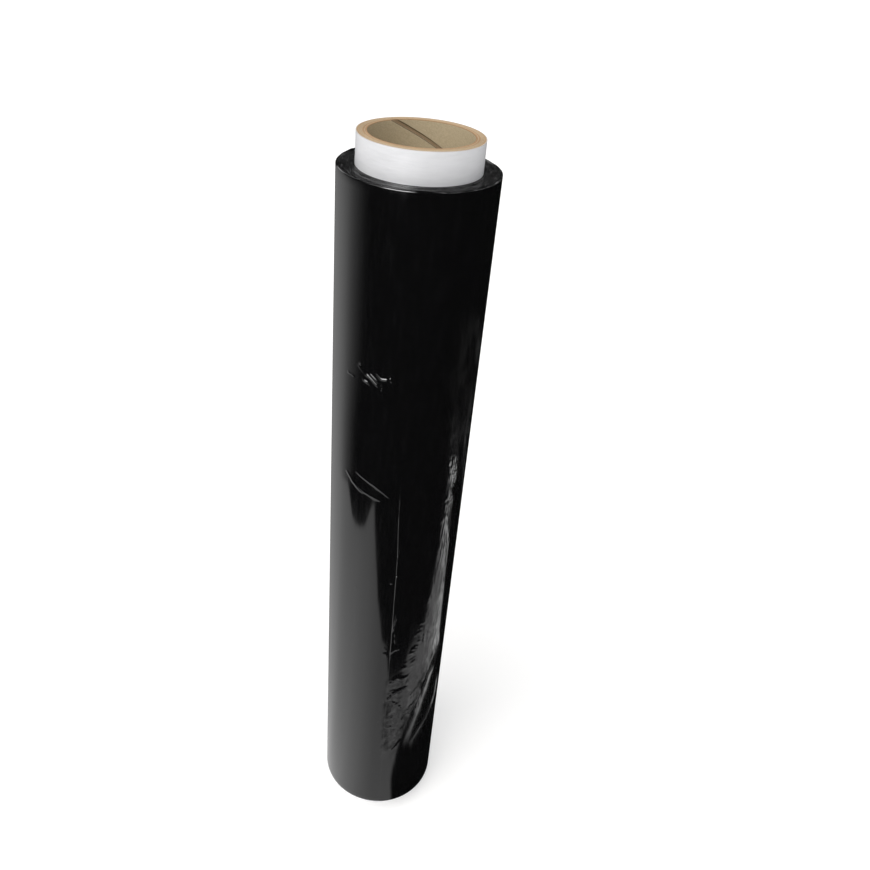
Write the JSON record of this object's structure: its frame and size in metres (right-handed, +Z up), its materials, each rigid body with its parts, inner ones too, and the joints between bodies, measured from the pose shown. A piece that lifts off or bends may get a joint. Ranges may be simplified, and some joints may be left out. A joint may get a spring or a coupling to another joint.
{
  "type": "stretch wrap roll",
  "caption": "Roll of black stretch film wound on a spiral-wound cardboard core with a white paper outside, standing on its end, with a bore for a spindle.",
  "frame": {"origin": "centre of the core's foot, on the bore's axis", "axes": "+Z up along the roll and its bore; the film's free edge and slack strip face -Y and +X"},
  "size_m": [0.0792, 0.0792, 0.487],
  "materials": {
    "core_board": "raw spiral-wound board, matte",
    "core_paper": "smooth white outer paper, satin",
    "film": "black polyethylene film, glossy where it is tight and crinkled where it is slack"
  },
  "bodies": {
    "root": {"core_board": "core_board", "core_white_paper": "core_paper", "film_roll": "film"}
  },
  "joints": []
}
